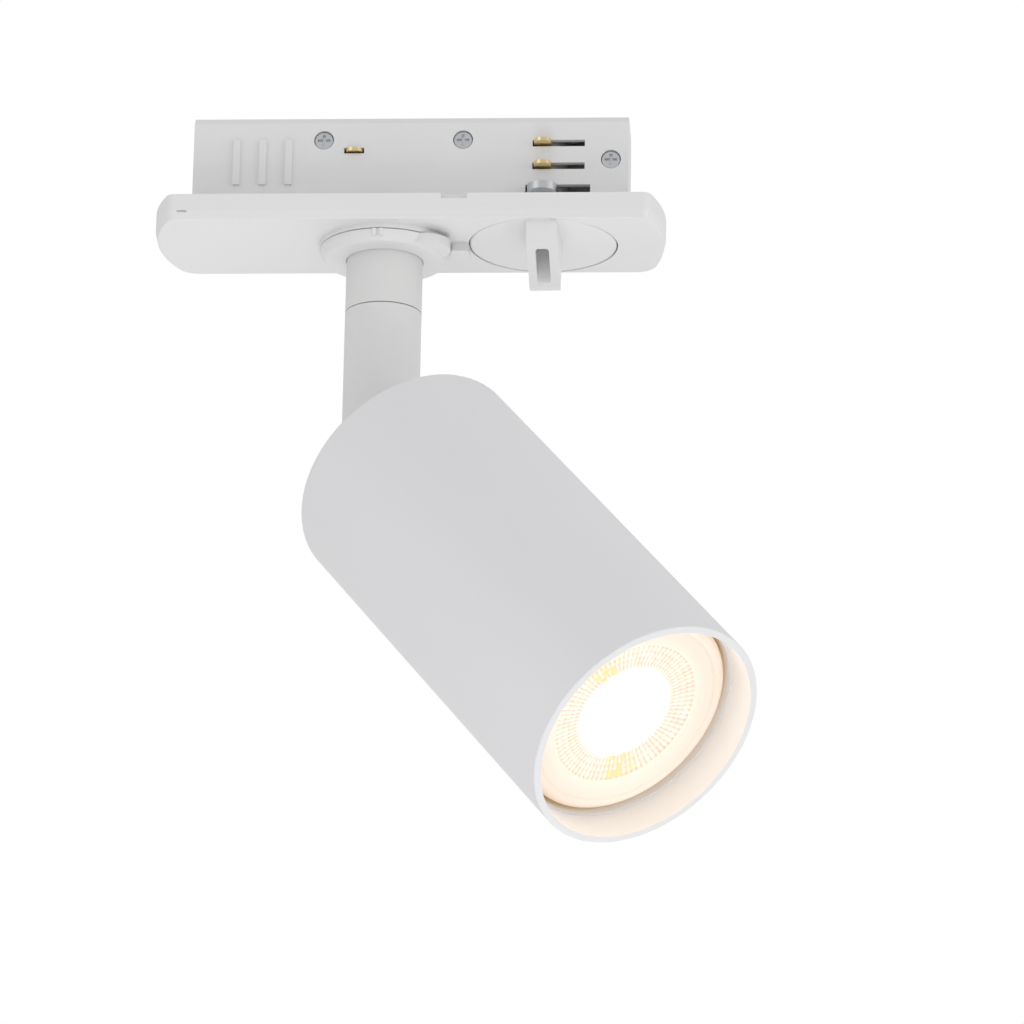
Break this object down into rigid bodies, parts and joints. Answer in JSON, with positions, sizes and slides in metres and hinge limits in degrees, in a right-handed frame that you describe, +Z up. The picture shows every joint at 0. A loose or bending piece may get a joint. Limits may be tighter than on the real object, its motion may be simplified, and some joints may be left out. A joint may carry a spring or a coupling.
{
  "type": "track spotlight",
  "caption": "Tube spotlight for a lighting track: an adapter with a turning lock, a swivelling stem and a tilting tube head that holds a reflector-size LED lamp.",
  "frame": {"origin": "where the pan axis meets the face of the cover plate that bears on the track", "axes": "+Z up into the track, +X along the track from the stem towards the lock, +Y across the track"},
  "size_m": [0.1389, 0.0967, 0.1805],
  "materials": {
    "plate_plastic": "white moulded plastic, fine matt texture",
    "insert_plastic": "white moulded plastic",
    "insulator_plastic": "pale insulating plastic",
    "bearing_plastic": "smooth low-friction plastic",
    "stem_paint": "white powder coat on aluminium, matt",
    "head_paint": "white powder coat on aluminium, fine texture, matt",
    "zinc_steel": "zinc-plated steel",
    "spring_steel": "spring steel",
    "brass": "brass, plated where it makes contact",
    "brown_insulation": "brown wire insulation",
    "blue_insulation": "blue wire insulation",
    "green_insulation": "green wire insulation",
    "cable_sheath": "white silicone sheath",
    "lampholder_ceramic": "glazed white ceramic",
    "lamp_white": "white satin plastic",
    "lamp_lens": "clear faceted lens, lit",
    "board": "white solder mask",
    "led_phosphor": "yellow phosphor",
    "bare_aluminium": "bare aluminium sheet"
  },
  "bodies": {
    "adapter": {"cover_plate": "plate_plastic", "friction_ring": "bearing_plastic", "insert_near_half": "insert_plastic", "insert_far_half": "insert_plastic", "case_screws": "zinc_steel", "plate_screws": "zinc_steel", "terminal_block": "insulator_plastic", "terminal_screws": "zinc_steel", "live_core": "brown_insulation", "earth_core": "green_insulation", "neutral_core": "blue_insulation", "live_feed": "brown_insulation", "neutral_feed": "blue_insulation", "earth_feed": "green_insulation", "earth_blade": "brass", "live_wiper": "brass", "neutral_wiper": "brass", "detent_spring": "spring_steel", "detent_rivet": "zinc_steel", "pan_bush": "bearing_plastic", "wave_washer": "spring_steel"},
    "lock": {"lock_dial": "plate_plastic", "lock_shaft": "zinc_steel", "lock_cam": "zinc_steel", "rotor_sleeves": "insulator_plastic", "live_contact": "brass", "neutral_contact": "brass", "shaft_clip": "zinc_steel"},
    "stem": {"swivel_flange": "plate_plastic", "stem_collar": "stem_paint", "pan_circlip": "zinc_steel", "stem_nipple": "zinc_steel", "stem_tube": "stem_paint", "stem_cable": "cable_sheath", "hinge_screw": "zinc_steel", "hinge_nut": "zinc_steel"},
    "head": {"rear_cap": "head_paint", "hinge_washers": "zinc_steel", "head_tube": "head_paint", "cap_grub_screws": "zinc_steel", "holder_posts": "zinc_steel", "holder_plate": "zinc_steel", "post_screws": "zinc_steel", "lampholder": "lampholder_ceramic", "lampholder_screws": "zinc_steel", "lampholder_contacts": "brass", "head_live_lead": "brown_insulation", "head_neutral_lead": "blue_insulation", "head_earth_lead": "green_insulation", "earth_tag": "brass", "earth_screw": "zinc_steel"},
    "lamp": {"lamp_shell": "lamp_white", "lamp_pins": "brass", "lamp_driver": "board", "lamp_heat_plate": "bare_aluminium", "led_board": "board", "led_chips": "led_phosphor", "lamp_bezel": "lamp_white", "lamp_lens": "lamp_lens"}
  },
  "joints": [
    {"name": "lock_turn", "type": "hinge", "parent": "adapter", "child": "lock", "pos_m": [0.0364, 0, 0], "axis": [0, 0, 1], "range_deg": [0, 90]},
    {"name": "pan_swivel", "type": "hinge", "parent": "adapter", "child": "stem", "pos_m": [0, 0, 0], "axis": [0, 0, 1], "range_deg": [-295, 7]},
    {"name": "head_tilt", "type": "hinge", "parent": "stem", "child": "head", "pos_m": [0, 0, -0.0549], "axis": [-0.6534, -0.757, 0], "range_deg": [-45, 45]},
    {"name": "lamp_twist", "type": "hinge", "parent": "head", "child": "lamp", "pos_m": [0.05353, -0.0462, -0.12561], "axis": [0.5353, -0.462, -0.7071], "range_deg": [0, 15]}
  ]
}
